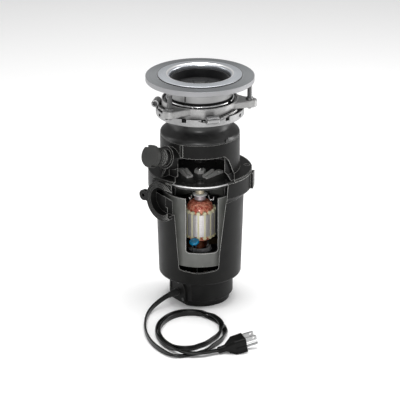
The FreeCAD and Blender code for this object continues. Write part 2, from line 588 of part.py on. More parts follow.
# ---- motor ----------------------------------------------------------------------------------------
def motor():
    """The fixed parts of the motor."""
    out = unit(SPOUT_AZIMUTH)
    frame = turned([
        (12.3, 156.0, 0.6), (17.0, 156.0, 1.0), (19.5, 164.0, 2), (67.8, 170.5), (67.8, 174.0),
        (60.0, 174.0, 1), (20.0, 169.0, 3), (16.5, 178.4, 1.0), (8.2, 178.4), (8.2, 171.2),
        (12.3, 171.2)])
    spout_room = rod(Vector(0, 0, OUTLET_Z) + out * 60, out, 60, OUTLET_BORE_R)
    posts = [rod(polar(SCREW_CIRCLE_R, az, 150), Z_AXIS, 50, 4.7) for az in SCREW_AZIMUTHS]
    hub = disc(25, 150, 190)
    frame = frame.cut(spout_room.cut(hub)).cut(posts)
    nodes["end_frame"] = frame.cut(FRAME_WINDOW)
    nodes["shaft_seal"] = turned([
        (6.3, 171.4), (8.15, 171.4), (8.15, 178.0), (6.6, 178.6, 0.4), (6.3, 177.0)]).cut(FRAME_WINDOW)
    nodes["upper_bearing"] = bearing(12.25, 6.25, 163.0, 171.0).cut(FRAME_WINDOW)
    low, high = CAN_Z
    wall = 2.0
    can = turned([(CAN_R - wall, low), (CAN_R, low, 1.0), (CAN_R, high), (CAN_R - wall, high)])
    nodes["motor_can"] = can.cut(CAN_WINDOW)
    bell = turned([
        (11.05, 60.2), (14.5, 60.2, 0.8), (16.0, 63.8, 1), (50.2, 63.8), (50.2, 66.4),
        (16.0, 66.4, 1), (14.5, 69.4, 0.6), (11.05, 69.4)])
    brackets = [block(az, 49.0, 54.4, 12, 60.0, 63.8) for az in (20, 90, 160, 215)]
    nodes["lower_end_bell"] = join(bell, *brackets).cut(
        [rod(polar(THROUGH_CIRCLE_R, az, 55), Z_AXIS, 20, 2.02) for az in THROUGH_BOLTS])
    nodes["lower_bearing"] = bearing(11.0, 5.02, 60.6, 68.6)
    back_half = Part.makeBox(160, 80, 120, Vector(-80, 2.0, 60))
    webs = [block(az, 33, 50.2, 3.0, 92, 132) for az in (30, 90, 150)]
    nodes["flux_ring"] = join(ring(34.6, 31.6, 86, 138), *webs).common(back_half)
    magnet = ring(31.5, 22.6, 90, 135)
    nodes["magnets"] = Part.Compound([
        magnet.common(sector(az, 38, 60, 80, 140)) for az in (48, 132)])
    nodes["through_bolts"] = Part.Compound([
        turned([(0, 60.4), (3.6, 60.4, 0.5), (3.6, 63.7), (2.0, 63.7), (2.0, 168.0), (0, 168.0)])
        .translated(polar(THROUGH_CIRCLE_R, az)) for az in THROUGH_BOLTS])
    nodes["end_frame"] = nodes["end_frame"].cut(
        [rod(polar(THROUGH_CIRCLE_R, az, 150), Z_AXIS, 30, 2.02) for az in THROUGH_BOLTS])
    brush_gear()
    small_motor_parts()


def bearing(outer, inner, low, high):
    """A ball bearing's two races and its shield, as one ring."""
    middle = (outer + inner) / 2
    step = (outer - inner) * 0.2
    return turned([
        (inner, low, 0.3), (middle - step, low), (middle - step, low + 0.5), (middle + step, low + 0.5),
        (middle + step, low), (outer, low, 0.4), (outer, high, 0.4), (middle + step, high),
        (middle + step, high - 0.5), (middle - step, high - 0.5), (middle - step, high),
        (inner, high, 0.3)])


def brush_gear():
    """The brush card's raised ring, two holders and two carbon brushes."""
    card = turned([
        (12.0, 69.6), (30.0, 69.6), (30.0, 71.2), (15.8, 71.2, 0.6), (15.2, 75.6, 0.9),
        (12.6, 75.6, 0.9), (12.0, 72)])
    holders = []
    for name, azimuth in zip(("right", "left"), BRUSH_AZIMUTHS):
        holder = block(azimuth, 12.5, 27.0, 7.4, 75.9, 83.5)
        holder = holder.cut(block(azimuth, 12.0, 25.6, 5.1, 77.1, 82.3))
        holders.append(holder)
        foot = block(azimuth, 22.0, 26.5, 7.0, 70.0, 75.9)
        card = card.fuse(foot)
        nodes["brush_" + name] = block(
            azimuth, COMMUTATOR_R + FIT, 19.0, 5.0, 77.15, 82.2)
    nodes["brush_card"] = card.removeSplitter()
    nodes["brush_holders"] = Part.Compound(holders)


def small_motor_parts():
    disc_shape = turned([(0, -1.9), (7.0, -1.9, 1.6), (7.0, 1.9, 1.6), (0, 1.9)])
    disc_shape.Placement = Placement(Vector(-8.0, -28.4, 92.4), Rotation(Z_AXIS, Vector(-0.1, -0.25, 0.96)))
    legs = [wire_run([(Vector(x, -29.0, 91.4), 0), (Vector(x, -30.5, 82.0), 3),
                      (Vector(x, -27.0, 71.2), 0)], 0.45) for x in (-10.5, -5.5)]
    nodes["varistor"] = join(disc_shape, *legs)
    arms = []
    arms.append(wire_run([
        (Vector(12.5, 2.0, 157.0), 0), (Vector(12.0, -4.0, 150.5), 2), (Vector(13.5, -9.0, 147.6), 1.5),
        (Vector(18.6, -9.0, 146.8), 1.2), (Vector(18.8, -9.0, 151.5), 0)], 0.75))
    arms.append(wire_run([
        (Vector(-12.5, 2.0, 157.0), 0), (Vector(-12.0, -4.0, 149.5), 2), (Vector(-13.6, -9.0, 147.4), 1.2),
        (Vector(-15.0, -9.0, 151.0), 0)], 0.75))
    bridge = ring(16.2, 12.4, 154.9, 155.9).common(Part.makeBox(60, 30, 5, Vector(-30, 1.0, 153)))
    posts = [rod(Vector(x, 2.0, 155.2), Z_AXIS, 1.8, 0.75) for x in (-12.9, 12.9)]
    nodes["bearing_clip"] = join(bridge, *arms, *posts)


def rotor():
    """The shaft and all that turns with it inside the motor."""
    shaft = turned([
        (0, 5.2), (5.0, 5.2, 0.4), (5.0, 73.6), (SHAFT_R, 74.0), (SHAFT_R, 184.0),
        (4.0, 184.0), (4.0, 190.6, 0.5), (0, 190.6)])
    socket = Part.Face(Part.makePolygon([polar(3.65, 60 * k, 5) for k in range(7)])).extrude(
        Vector(0, 0, 14))
    nodes["shaft"] = shaft.cut(socket)
    nodes["shaft_sleeve"] = ring(6.2, SHAFT_R, 153.9, 180.9)
    nodes["slinger"] = turned([
        (SHAFT_R, 152.4), (8.0, 152.4), (10.3, 151.6, 0.3), (10.3, 152.6, 0.3), (8.0, 153.8),
        (SHAFT_R, 153.8)])
    nodes["rotor_spacer"] = turned([
        (SHAFT_R, 145.2), (8.3, 145.2, 0.6), (7.2, 152.3, 1.0), (SHAFT_R, 152.3)])
    core = disc(CORE_R, *CORE_Z)
    azimuths = [-96 + 360 / SLOTS * k for k in range(SLOTS)]
    mouths = [block(az, SLOT_FLOOR_R, 25, SLOT_WIDTH, CORE_Z[0] - 1, CORE_Z[1] + 1)
              for az in azimuths]
    nodes["armature_core"] = core.cut(mouths).cut(disc(SHAFT_R, CORE_Z[0] - 3, CORE_Z[1] + 3))
    strips = []
    for azimuth in azimuths:
        strip = block(azimuth, SLOT_FLOOR_R, 21.5, SLOT_WIDTH, CORE_Z[0] - 2.4, CORE_Z[1] + 1.8)
        for z in (CORE_Z[1] + 2.0, CORE_Z[0] - 2.0):
            bead = rod(polar(17.0, azimuth, z), unit(azimuth), 4.6, 2.6)
            strip = strip.fuse(bead.cut(disc(60, *CORE_Z)))
        strips.append(strip.removeSplitter())
    nodes["slot_insulation"] = Part.Compound(strips)
    top = turned([
        (SHAFT_R + 0.05, CORE_Z[1] + 0.1), (19.8, CORE_Z[1] + 0.1), (20.6, 131.4, 1.5),
        (18.5, 140.5, 5), (12.0, 145.0, 4), (SHAFT_R + 0.05, 145.1)])
    bottom = turned([
        (SHAFT_R + 0.05, CORE_Z[0] - 0.1), (19.8, CORE_Z[0] - 0.1), (19.8, 91.4, 3),
        (13.0, COMMUTATOR_Z[1] + 0.1, 3),
        (SHAFT_R + 0.05, COMMUTATOR_Z[1] + 0.1)])
    for strip in strips:
        top = top.cut(strip)
        bottom = bottom.cut(strip)
    nodes["windings_top"] = top
    nodes["windings_bottom"] = bottom
    grooves = [block(15 * k, COMMUTATOR_R - 0.6, 11, 0.5, 70, 86) for k in range(24)]
    bars = ring(COMMUTATOR_R, SHAFT_R, *COMMUTATOR_Z).cut(grooves)
    nodes["commutator"] = join(bars, ring(8.4, SHAFT_R, 74.4, COMMUTATOR_Z[0]))


# ---- inlet cap ------------------------------------------------------------------------------------
def inlet_cap():
    """The push-on cap of the dishwasher inlet, with two notches in its rim."""
    axis = inlet_axis()
    depth = 7.0
    cap = rod(INLET_CAP - axis * depth, axis, depth, 15.3)
    cap = cap.makeFillet(0.9, [e for e in cap.Edges if e.Length > 90])
    cap = cap.cut(rod(INLET_CAP - axis * (depth + 1), axis, depth - 1.2, 11.9))
    spigot = rod(INLET_CAP - axis * 12, axis, 11, 8.9).cut(rod(INLET_CAP - axis * 13, axis, 10, 7.4))
    level = Z_AXIS.cross(axis).normalize()
    upward = axis.cross(level)
    notches = []
    for angle in (52.0, 232.0):
        a = math.radians(angle)
        to_notch = level * -math.cos(a) + upward * math.sin(a)
        notch = Part.makeBox(5.0, 5.6, 12, Vector(12.6, -2.8, -6))
        notch.Placement = Placement(INLET_CAP, Rotation(to_notch, axis.cross(to_notch), axis, "XYZ"))
        notches.append(notch)
    nodes["inlet_cap"] = join(cap, spigot).cut(notches)


# ---- cord and plug --------------------------------------------------------------------------------
def lead_corners():
    """The route's corners, each with 0.45 of its shorter run in its arc."""
    points = [Vector(*p) for p in LEAD]
    corners = [(points[0], 0)]
    for before, point, after in zip(points, points[1:], points[2:]):
        arriving = point - before
        leaving = after - point
        half = arriving.getAngle(leaving) / 2
        shorter = min(arriving.Length, leaving.Length)
        radius = 0.45 * shorter / math.tan(half)
        corners.append((point, radius))
        print("lead corner", [round(c, 1) for c in point], "radius", round(radius, 1))
    corners.append((points[-1], 0))
    return corners


def cord():
    corners = lead_corners()
    path = Part.Wire(rounded_edges(corners, closed=False))
    start = corners[0][0]
    heading = (corners[1][0] - start).normalize()
    side = Z_AXIS.cross(heading).normalize()
    up = heading.cross(side)
    half_t = CORD_THICK / 2
    half_w = CORD_WIDTH / 2
    outline = [(start + side * s * half_t + up * u * half_w, 1.3)
               for s, u in ((-1, -1), (1, -1), (1, 1), (-1, 1))]
    section = Part.Wire(rounded_edges(outline))
    sweep = Part.BRepOffsetAPI.MakePipeShell(path)
    sweep.setBiNormalMode(Z_AXIS)
    sweep.add(section, False, False)
    sweep.build()
    sweep.makeSolid()
    lead = Part.Solid(sweep.shape())
    area = Part.Face(section).Area
    print("lead volume", round(lead.Volume), "section x length", round(area * path.Length),
          "length", round(path.Length, 1))
    nodes["cord_lead"] = lead
    coil = oval(COIL_HALF_X[1], COIL_HALF_Y[1]).cut(oval(COIL_HALF_X[0], COIL_HALF_Y[0]))
    nodes["cord_coil"] = coil
    plug()


def oval(half_x, half_y):
    """A flat oval block around the loose turns."""
    edge = Part.Ellipse(COIL_CENTRE, half_y, half_x).toShape()
    edge.rotate(COIL_CENTRE, Z_AXIS, 90)
    return Part.Face(Part.Wire([edge])).extrude(Vector(0, 0, COIL_HEIGHT))


def plug_place(along, across, up):
    """A point of the plug: along the cord's line from the collar's end, to the left and up."""
    heading = unit(PLUG_HEADING, PLUG_PITCH)
    side = unit(PLUG_HEADING + 90)
    return PLUG_START + heading * along + side * across + heading.cross(side) * up


def plug_section(along, width, low, high, radius):
    corners = [(plug_place(along, a * width / 2, z), radius)
               for a, z in ((-1, low), (1, low), (1, high), (-1, high))]
    return Part.Wire(rounded_edges(corners))


def plug_band(width, low, high):
    """One level of the moulded body, a little wider than the level above it."""
    half = width / 2
    corners = [(plug_place(a, b, low), r) for a, b, r in (
        (13.0, -4.0, 0), (20.5, -half, 3.0), (PLUG_FACE, -half, 1.2), (PLUG_FACE, half, 1.2),
        (20.5, half, 3.0), (13.0, 4.0, 0))]
    upward = plug_place(0, 0, 1) - plug_place(0, 0, 0)
    return Part.Face(Part.Wire(rounded_edges(corners))).extrude(upward * (high - low))


def plug():
    """A moulded three-pin mains plug: collar, shoulder and a body in three levels."""
    neck = plug_section(9, 8.6, -4.2, 4.4, 2.8)
    collar = Part.makeLoft([plug_section(-1, 7.8, -4.0, 4.0, 2.6), neck], True, True)
    shoulder = Part.makeLoft([plug_section(8.9, 8.6, -4.2, 4.4, 2.8),
                              plug_section(20.5, 21.6, -7.0, 10.2, 3.2)], True, True)
    block_part = Part.makeLoft([plug_section(20.4, 21.6, -7.0, 10.2, 3.2),
                                plug_section(PLUG_FACE, 22.0, -7.0, PLUG_TOP, 2.6)], True, True)
    nodes["plug_body"] = join(collar, shoulder, block_part, plug_band(24.4, PLUG_LOW, PLUG_LOW + 2.4),
                              plug_band(23.2, PLUG_LOW + 2.4, PLUG_LOW + 8.4))
    leftward = unit(PLUG_HEADING + 90)
    thickness = 1.5
    half_width = 3.175
    length = 15.9
    blades = []
    root = PLUG_FACE - 0.1
    low = PLUG_BLADE_UP - half_width
    high = PLUG_BLADE_UP + half_width
    for across in (-6.35, 6.35):
        near_side = across - thickness / 2
        corners = [(plug_place(root, near_side, low), 0),
                   (plug_place(root + length, near_side, low), 1.2),
                   (plug_place(root + length, near_side, high), 1.2),
                   (plug_place(root, near_side, high), 0)]
        blade = Part.Face(Part.Wire(rounded_edges(corners))).extrude(leftward * thickness)
        eye = rod(plug_place(root + length - 4.1, across - 3, PLUG_BLADE_UP), leftward, 6, 1.6)
        blades.append(blade.cut(eye))
    nodes["plug_blades"] = Part.Compound(blades)
    pin_length = 16.5
    pin = rod(plug_place(root, 0, PLUG_PIN_UP), unit(PLUG_HEADING, PLUG_PITCH), pin_length, 2.4)
    nodes["plug_ground_pin"] = join(
        pin, Part.makeSphere(2.4, plug_place(root + pin_length, 0, PLUG_PIN_UP)))


def strain_relief():
    """The moulded bush where the cord leaves the terminal cover."""
    out = unit(FACET_AZIMUTH)
    collar_back = COVER_THICK + 0.15
    collar_face = Vector(*LEAD[0]).dot(out) - FACET
    sleeve = rod(on_facet(EXIT_ACROSS, EXIT_Z, -6.0), out, 6.0 + collar_back, 4.5)
    collar = rod(on_facet(EXIT_ACROSS, EXIT_Z, collar_back), out, collar_face - collar_back, 5.8)
    nodes["strain_relief"] = join(sleeve, collar)


sink_mount()
housings()
grind_parts()
motor()
rotor()
inlet_cap()
cord()
strain_relief()

os.makedirs("parts", exist_ok=True)
for name, shape in nodes.items():
    shape.exportStep(os.path.join("parts", name + ".step"))
    if not shape.isValid() or shape.Volume <= 0:
        print("check", name, shape.isValid(), shape.Volume)
print(len(nodes), "nodes")
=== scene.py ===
import json
import math
import random

import bpy
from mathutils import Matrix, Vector


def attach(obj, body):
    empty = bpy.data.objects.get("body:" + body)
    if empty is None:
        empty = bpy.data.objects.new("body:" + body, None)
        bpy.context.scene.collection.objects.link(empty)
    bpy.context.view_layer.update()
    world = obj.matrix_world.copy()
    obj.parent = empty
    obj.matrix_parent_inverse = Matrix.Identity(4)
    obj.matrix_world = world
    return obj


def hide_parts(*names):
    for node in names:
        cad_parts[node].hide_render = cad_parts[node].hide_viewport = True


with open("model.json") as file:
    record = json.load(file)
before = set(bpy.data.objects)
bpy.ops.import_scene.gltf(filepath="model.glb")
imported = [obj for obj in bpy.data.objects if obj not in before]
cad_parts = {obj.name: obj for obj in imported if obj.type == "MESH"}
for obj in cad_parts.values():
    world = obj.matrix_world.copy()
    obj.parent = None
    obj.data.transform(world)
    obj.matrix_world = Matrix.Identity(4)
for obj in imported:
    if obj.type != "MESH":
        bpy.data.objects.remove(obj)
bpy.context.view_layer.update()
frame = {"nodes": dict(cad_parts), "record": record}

# The kitchen garbage disposal's looks. Metres, +Z up, the windows face -Y. The cord, its strain
# relief and the windings are built here; every other piece is a CAD node with a material.
MM = 0.001

# heights, and distances from the unit's axis, where a look changes
SLEEVE_TOP = 0.317             # the flange's polish ends under the backup flange
GROOVE_TOP = 0.2985            # the snap ring's groove
LIP_FROM = 0.3262              # the rolled mouth of the flange
LIP_R = 0.0455
TABLE_RIM_FROM = 0.1824        # the turntable's turned rim
TABLE_RIM_R = 0.0566
GREASE_TOP = 0.07              # old grease on the shaft's lower end
VARISTOR_LEGS_TOP = 0.0862
BRIDGE_FROM = 0.151            # the bearing clip's bridge; the snap ring, of the same steel, is
BRIDGE_TO = 0.2                # above this
COLLAR_R = 0.0162              # the brush card's collar
FADED_EDGES_X = -0.052         # the cut edges left of this are in the spout's shadow
FADE = 0.0006                  # how far a change of look takes

BLACK = (0.0062, 0.0062, 0.006)
BLACK_LIGHT = (0.0102, 0.0102, 0.0097)
# pale cut edges, brightened as a painted highlight along sharp edges
CUT_EDGE_AND_HIGHLIGHT = (0.5, 0.5, 0.48)
# painted shade for crevices and narrow gaps
CREVICE_SHADE = (0.01, 0.01, 0.01)


# ---- node helpers -----------------------------------------------------------------------------
def make(tree, kind, inputs=None, **settings):
    """A shader node with its settings, and its inputs as values or links."""
    node = tree.nodes.new(kind)
    for name, value in settings.items():
        setattr(node, name, value)
    for name, value in (inputs or {}).items():
        if isinstance(value, bpy.types.NodeSocket):
            tree.links.new(value, node.inputs[name])
        else:
            node.inputs[name].default_value = value
    return node


def new_material(name, metallic=0.0, roughness=0.5, **sockets):
    """An empty principled material: its tree, its shader and its place in the frame."""
    material = bpy.data.materials.new(name)
    material.use_nodes = True
    tree = material.node_tree
    shader = tree.nodes["Principled BSDF"]
    shader.inputs["Metallic"].default_value = metallic
    shader.inputs["Roughness"].default_value = roughness
    for socket, value in sockets.items():
        shader.inputs[socket.replace("_", " ")].default_value = value
    place = make(tree, "ShaderNodeTexCoord").outputs["Object"]
    return material, tree, shader, place


def paint(tree, shader, color):
    tree.links.new(color, shader.inputs["Base Color"])


def calc(tree, operation, a, b=0.0):
    return make(tree, "ShaderNodeMath", {0: a, 1: b}, operation=operation).outputs[0]


def scaled(tree, value, base, gain):
    return calc(tree, "ADD", base, calc(tree, "MULTIPLY", value, gain))


def noise(tree, place, scale, detail=3.0, roughness=0.55):
    return make(tree, "ShaderNodeTexNoise", {
        "Vector": place, "Scale": scale, "Detail": detail, "Roughness": roughness}).outputs["Fac"]


def between(tree, value, low, high):
    """0 below low, 1 above high."""
    return make(tree, "ShaderNodeMapRange", {
        "Value": value, "From Min": low, "From Max": high}, clamp=True).outputs[0]


def past(tree, value, start, fade=FADE):
    """0 up to the start, 1 past it."""
    return between(tree, value, start, start + fade)


def short_of(tree, value, end, fade=FADE):
    """1 up to the end, 0 past it."""
    return calc(tree, "SUBTRACT", 1.0, past(tree, value, end, fade))


def mixed(tree, share, first, second):
    node = make(tree, "ShaderNodeMix", data_type="RGBA")
    for socket, value in ((0, share), (6, first), (7, second)):
        if isinstance(value, bpy.types.NodeSocket):
            tree.links.new(value, node.inputs[socket])
        else:
            node.inputs[socket].default_value = value if socket == 0 else (*value, 1.0)
    return node.outputs[2]


def toned(tree, pattern, dark, light, low=0.3, high=0.7):
    """A colour that varies with a pattern."""
    return mixed(tree, between(tree, pattern, low, high), dark, light)


def bump(tree, shader, height, depth, strength=0.5):
    normal = make(tree, "ShaderNodeBump", {
        "Height": height, "Distance": depth, "Strength": strength}).outputs[0]
    tree.links.new(normal, shader.inputs["Normal"])


def edge_mask(tree, radius):
    """1 along sharp edges within a radius of them, 0 on the flats."""
    soft = make(tree, "ShaderNodeBevel", {"Radius": radius}, samples=6).outputs[0]
    true = make(tree, "ShaderNodeNewGeometry").outputs["Normal"]
    dot = make(tree, "ShaderNodeVectorMath", {0: soft, 1: true}, operation="DOT_PRODUCT").outputs["Value"]
    return between(tree, calc(tree, "SUBTRACT", 1.0, dot), 0.015, 0.16)


def open_to_air(tree, distance):
    """0 deep in crevices, where painted shade darkens the colour, 1 on open faces."""
    openness = make(tree, "ShaderNodeAmbientOcclusion", {"Distance": distance}, samples=8).outputs["AO"]
    return between(tree, openness, 0.35, 0.8)


def axis_parts(tree, place):
    """Radius from the unit's axis, azimuth in radians and height."""
    x, y, z = make(tree, "ShaderNodeSeparateXYZ", {0: place}).outputs
    squares = calc(tree, "ADD", calc(tree, "MULTIPLY", x, x), calc(tree, "MULTIPLY", y, y))
    return calc(tree, "SQRT", squares), calc(tree, "ARCTAN2", y, x), z


def joined(tree, x, y, z):
    return make(tree, "ShaderNodeCombineXYZ", {0: x, 1: y, 2: z}).outputs[0]


def turned_rings(tree, radius, azimuth, z, lines, wander=0.0006):
    """Fine rings about the unit's axis, as a lathe leaves them."""
    place = joined(tree, radius, calc(tree, "MULTIPLY", azimuth, wander), z)
    return noise(tree, place, lines)


# ---- looks --------------------------------------------------------------------------------------
def plastic(name, dark, light, roughness=0.42, grain=1500.0, depth=0.00006, edge=None,
            specular=0.13, coat=0.0):
    """Moulded plastic: a fine texture, faint cloudy tone and paler edges: cut or worn, and brightened as a
    painted highlight along every sharp edge.
    """
    material, tree, shader, place = new_material(
        name, roughness=roughness, Specular_IOR_Level=specular, Coat_Weight=coat, Coat_Roughness=0.15)
    cloud = noise(tree, place, 45.0, 4.0)
    color = toned(tree, cloud, dark, light, 0.35)
    # painted highlight along sharp edges, with paler cut edges; weaker in the spout's shadow
    if edge:
        x = make(tree, "ShaderNodeSeparateXYZ", {0: place}).outputs[0]
        window_side = scaled(tree, past(tree, x, FADED_EDGES_X, 0.008), 0.22, 0.78)
        color = mixed(tree, calc(tree, "MULTIPLY", edge_mask(tree, 0.0009), window_side), color, edge)
    paint(tree, shader, color)
    rough = calc(tree, "MULTIPLY", between(tree, cloud, -1.0, 2.2), roughness / 0.47)
    tree.links.new(rough, shader.inputs["Roughness"])
    bump(tree, shader, noise(tree, place, grain, 2.0), depth, 0.6)
    return material


def metal(name, dark, light, roughness=0.3, grain=(300.0, 300.0, 300.0), depth=0.00003,
          edge=None, edge_width=0.0004, metallic=1.0, shadow=0.0):
    """Bare or plated metal: streaky tone, smudged roughness, a painted highlight along sharp edges (a
    darker line on the plug's blades) and, where a shadow distance is given, painted shade in crevices.
    """
    material, tree, shader, place = new_material(name, metallic=metallic, roughness=roughness)
    drawn = make(tree, "ShaderNodeMapping", {"Vector": place, "Scale": grain}).outputs[0]
    streak = noise(tree, drawn, 3.0, 5.0, 0.6)
    color = toned(tree, streak, dark, light)
    # painted highlight along sharp edges
    if edge:
        color = mixed(tree, edge_mask(tree, edge_width), color, edge)
    # painted shade: the colour goes near black deep in crevices
    if shadow:
        color = mixed(tree, open_to_air(tree, shadow), CREVICE_SHADE, color)
    paint(tree, shader, color)
    smudge = noise(tree, place, 70.0, 4.0)
    tree.links.new(scaled(tree, smudge, roughness - 0.09, 0.2), shader.inputs["Roughness"])
    bump(tree, shader, streak, depth)
    return material


def turned_metal(name, dark, light, roughness, metallic, side=None, edge=None):
    """Metal turned or spun about the unit's axis, with fine rings that catch the light and, where an edge
    colour is given, a machined edge brightened as a painted highlight.
    """
    material, tree, shader, place = new_material(
        name, metallic=metallic, roughness=roughness, Anisotropic=0.5)
    rings = turned_rings(tree, *axis_parts(tree, place), 2600.0)
    color = toned(tree, rings, dark, light)
    if side:
        facing = make(tree, "ShaderNodeTexCoord").outputs["Normal"]
        upward = make(tree, "ShaderNodeSeparateXYZ", {0: facing}).outputs[2]
        color = mixed(tree, between(tree, upward, 0.4, 0.8), side, color)
    # machined edge brightened as a painted highlight
    if edge:
        color = mixed(tree, edge_mask(tree, 0.0005), color, edge)
    paint(tree, shader, color)
    cloud = noise(tree, place, 30.0)
    tree.links.new(scaled(tree, cloud, roughness - 0.06, 0.14), shader.inputs["Roughness"])
    bump(tree, shader, rings, 0.00001)
    return material


def rubber(name, dark, light, roughness=0.6, sheen=0.15, specular=0.3):
    """Rubber or soft vinyl: a dusty tone over a fine texture."""
    material, tree, shader, place = new_material(
        name, roughness=roughness, Specular_IOR_Level=specular, Sheen_Weight=sheen, Sheen_Roughness=0.5)
    dust = noise(tree, place, 120.0, 5.0, 0.65)
    paint(tree, shader, toned(tree, dust, dark, light, 0.4, 0.75))
    bump(tree, shader, noise(tree, place, 900.0), 0.00008)
    return material


def turntable_look():
    """A dark stained disc, bright on its turned rim and on scuffs where the lugs sweep."""
    material, tree, shader, place = new_material("table_steel", metallic=0.5, roughness=0.38)
    radius, azimuth, z = axis_parts(tree, place)
    rings = turned_rings(tree, radius, azimuth, z, 1800.0, 0.001)
    dark = toned(tree, rings, (0.022, 0.022, 0.022), (0.07, 0.07, 0.068), 0.35)
    splash = between(tree, noise(tree, place, 420.0, 3.0, 0.7), 0.62, 0.72)
    scuffed = mixed(tree, calc(tree, "MULTIPLY", splash, 0.5), dark, (0.45, 0.45, 0.44))
    rim = calc(tree, "MULTIPLY", past(tree, radius, TABLE_RIM_R), past(tree, z, TABLE_RIM_FROM, 0.0004))
    paint(tree, shader, mixed(tree, rim, scuffed, (0.95, 0.95, 0.95)))
    tree.links.new(scaled(tree, rings, 0.26, 0.25), shader.inputs["Roughness"])
    bump(tree, shader, rings, 0.00004)
    return material


def lamination_look():
    """Stacked steel sheets: fine level lines with slight differences in tone."""
    material, tree, shader, place = new_material("laminations", metallic=0.5, roughness=0.36)
    azimuth, z = axis_parts(tree, place)[1:]
    sheet = make(tree, "ShaderNodeTexWave", {
        "Vector": place, "Scale": 320.0, "Distortion": 0.0}, bands_direction="Z").outputs["Fac"]
    tone = noise(tree, joined(tree, calc(tree, "MULTIPLY", azimuth, 0.002), 0.0, z), 1500.0, 2.0)
    steel = toned(tree, tone, (0.74, 0.7, 0.7), (0.93, 0.9, 0.9), 0.25, 0.75)
    gap = calc(tree, "MULTIPLY", between(tree, sheet, 0.85, 1.0), 0.35)
    paint(tree, shader, mixed(tree, gap, steel, (0.25, 0.23, 0.22)))
    bump(tree, shader, sheet, 0.00008, 0.4)
    return material


def can_look():
    """Satin grey paint, with a pale line along its cut edges: the bare cut, brightened as a painted
    highlight.
    """
    material, tree, shader, place = new_material("can_grey", roughness=0.4, Specular_IOR_Level=0.4)
    cloud = noise(tree, place, 40.0, 4.0)
    tone = toned(tree, cloud, (0.11, 0.113, 0.105), (0.15, 0.153, 0.143))
    # painted highlight along the cut edges of the window
    paint(tree, shader, mixed(tree, edge_mask(tree, 0.0014), tone, (0.75, 0.75, 0.73)))
    bump(tree, shader, noise(tree, place, 1300.0, 2.0), 0.00004, 0.4)
    return material


def wire_look():
    """Enamelled copper wire, redder and darker where it is deep in the bundle."""
    material, tree, shader, place = new_material(
        "red_copper", metallic=0.1, roughness=0.3, Coat_Weight=0.5, Coat_Roughness=0.15)
    shade = noise(tree, place, 260.0)
    paint(tree, shader, toned(tree, shade, (0.5, 0.06, 0.035), (1.0, 0.46, 0.3), 0.35, 0.65))
    bump(tree, shader, noise(tree, place, 1700.0, 2.0), 0.00005, 0.4)
    return material


def flange_look():
    """Polished rim and mouth with a painted highlight on the mouth's lip, a satin sleeve below, and a
    shadowed groove for the snap ring.
    """
    material, tree, shader, place = new_material(
        "polished_steel", metallic=0.9, roughness=0.24, Anisotropic=0.4)
    radius, azimuth, z = axis_parts(tree, place)
    rings = turned_rings(tree, radius, azimuth, z, 2400.0)
    cloud = noise(tree, place, 25.0)
    rim = toned(tree, rings, (0.62, 0.65, 0.69), (0.8, 0.83, 0.87))
    sleeve = toned(tree, cloud, (0.3, 0.3, 0.3), (0.4, 0.4, 0.4))
    low = short_of(tree, z, SLEEVE_TOP - 0.001, 0.001)
    color = mixed(tree, low, rim, sleeve)
    color = mixed(tree, short_of(tree, z, GROOVE_TOP), color, (0.012, 0.012, 0.012))
    # painted highlight: the mouth's lip is painted near white
    lip = calc(tree, "MULTIPLY", past(tree, z, LIP_FROM), short_of(tree, radius, LIP_R, 0.0005))
    paint(tree, shader, mixed(tree, lip, color, (0.97, 0.97, 0.97)))
    satin = calc(tree, "ADD", calc(tree, "MULTIPLY", cloud, 0.12), calc(tree, "MULTIPLY", low, 0.22))
    tree.links.new(calc(tree, "ADD", 0.26, satin), shader.inputs["Roughness"])
    bump(tree, shader, rings, 0.00001)
    return material


def shaft_look():
    """Ground steel, dark with old grease below the armature."""
    material, tree, shader, place = new_material("shaft_steel", metallic=1.0, roughness=0.24)
    radius, azimuth, z = axis_parts(tree, place)
    rings = turned_rings(tree, radius, azimuth, z, 2600.0)
    bright = toned(tree, rings, (0.6, 0.6, 0.58), (0.85, 0.85, 0.83))
    greased = toned(tree, rings, (0.02, 0.02, 0.02), (0.05, 0.05, 0.048))
    paint(tree, shader, mixed(tree, past(tree, z, GREASE_TOP, 0.004), greased, bright))
    bump(tree, shader, rings, 0.00001)
    return material


def varistor_look():
    """Blue epoxy on the disc, dark tinned legs below it."""
    material, tree, shader, place = new_material(
        "varistor_blue", roughness=0.25, Specular_IOR_Level=0.6, Coat_Weight=0.4)
    z = axis_parts(tree, place)[2]
    blue = toned(tree, noise(tree, place, 60.0), (0.004, 0.2, 0.42), (0.012, 0.3, 0.56), 0.35)
    paint(tree, shader, mixed(tree, past(tree, z, VARISTOR_LEGS_TOP), (0.05, 0.05, 0.05), blue))
    bump(tree, shader, noise(tree, place, 1500.0, 2.0), 0.00003, 0.4)
    return material


def spring_look():
    """Bright spring wire; the clip's bridge, up under the bearing, is painted dark."""
    material, tree, shader, place = new_material("spring_steel", metallic=0.7, roughness=0.25)
    z = axis_parts(tree, place)[2]
    streak = noise(tree, place, 800.0, 4.0)
    wire = toned(tree, streak, (0.8, 0.8, 0.8), (0.95, 0.95, 0.95))
    under = calc(tree, "MULTIPLY", past(tree, z, BRIDGE_FROM, 0.0015), short_of(tree, z, BRIDGE_TO, 0.01))
    paint(tree, shader, mixed(tree, under, wire, (0.02, 0.02, 0.02)))
    bump(tree, shader, streak, 0.00002, 0.4)
    return material


def card_look():
    """The brush card: a pale moulded collar about the commutator on a dusty black plate."""
    material, tree, shader, place = new_material("card_grey", roughness=0.4, Specular_IOR_Level=0.3)
    radius = axis_parts(tree, place)[0]
    cloud = noise(tree, place, 140.0, 4.0)
    collar = toned(tree, cloud, (0.24, 0.25, 0.255), (0.4, 0.41, 0.415), 0.35, 0.65)
    plate = toned(tree, cloud, (0.006, 0.006, 0.006), (0.014, 0.014, 0.014), 0.35, 0.65)
    paint(tree, shader, mixed(tree, past(tree, radius, COLLAR_R), collar, plate))
    bump(tree, shader, noise(tree, place, 1300.0, 2.0), 0.00004)
    return material


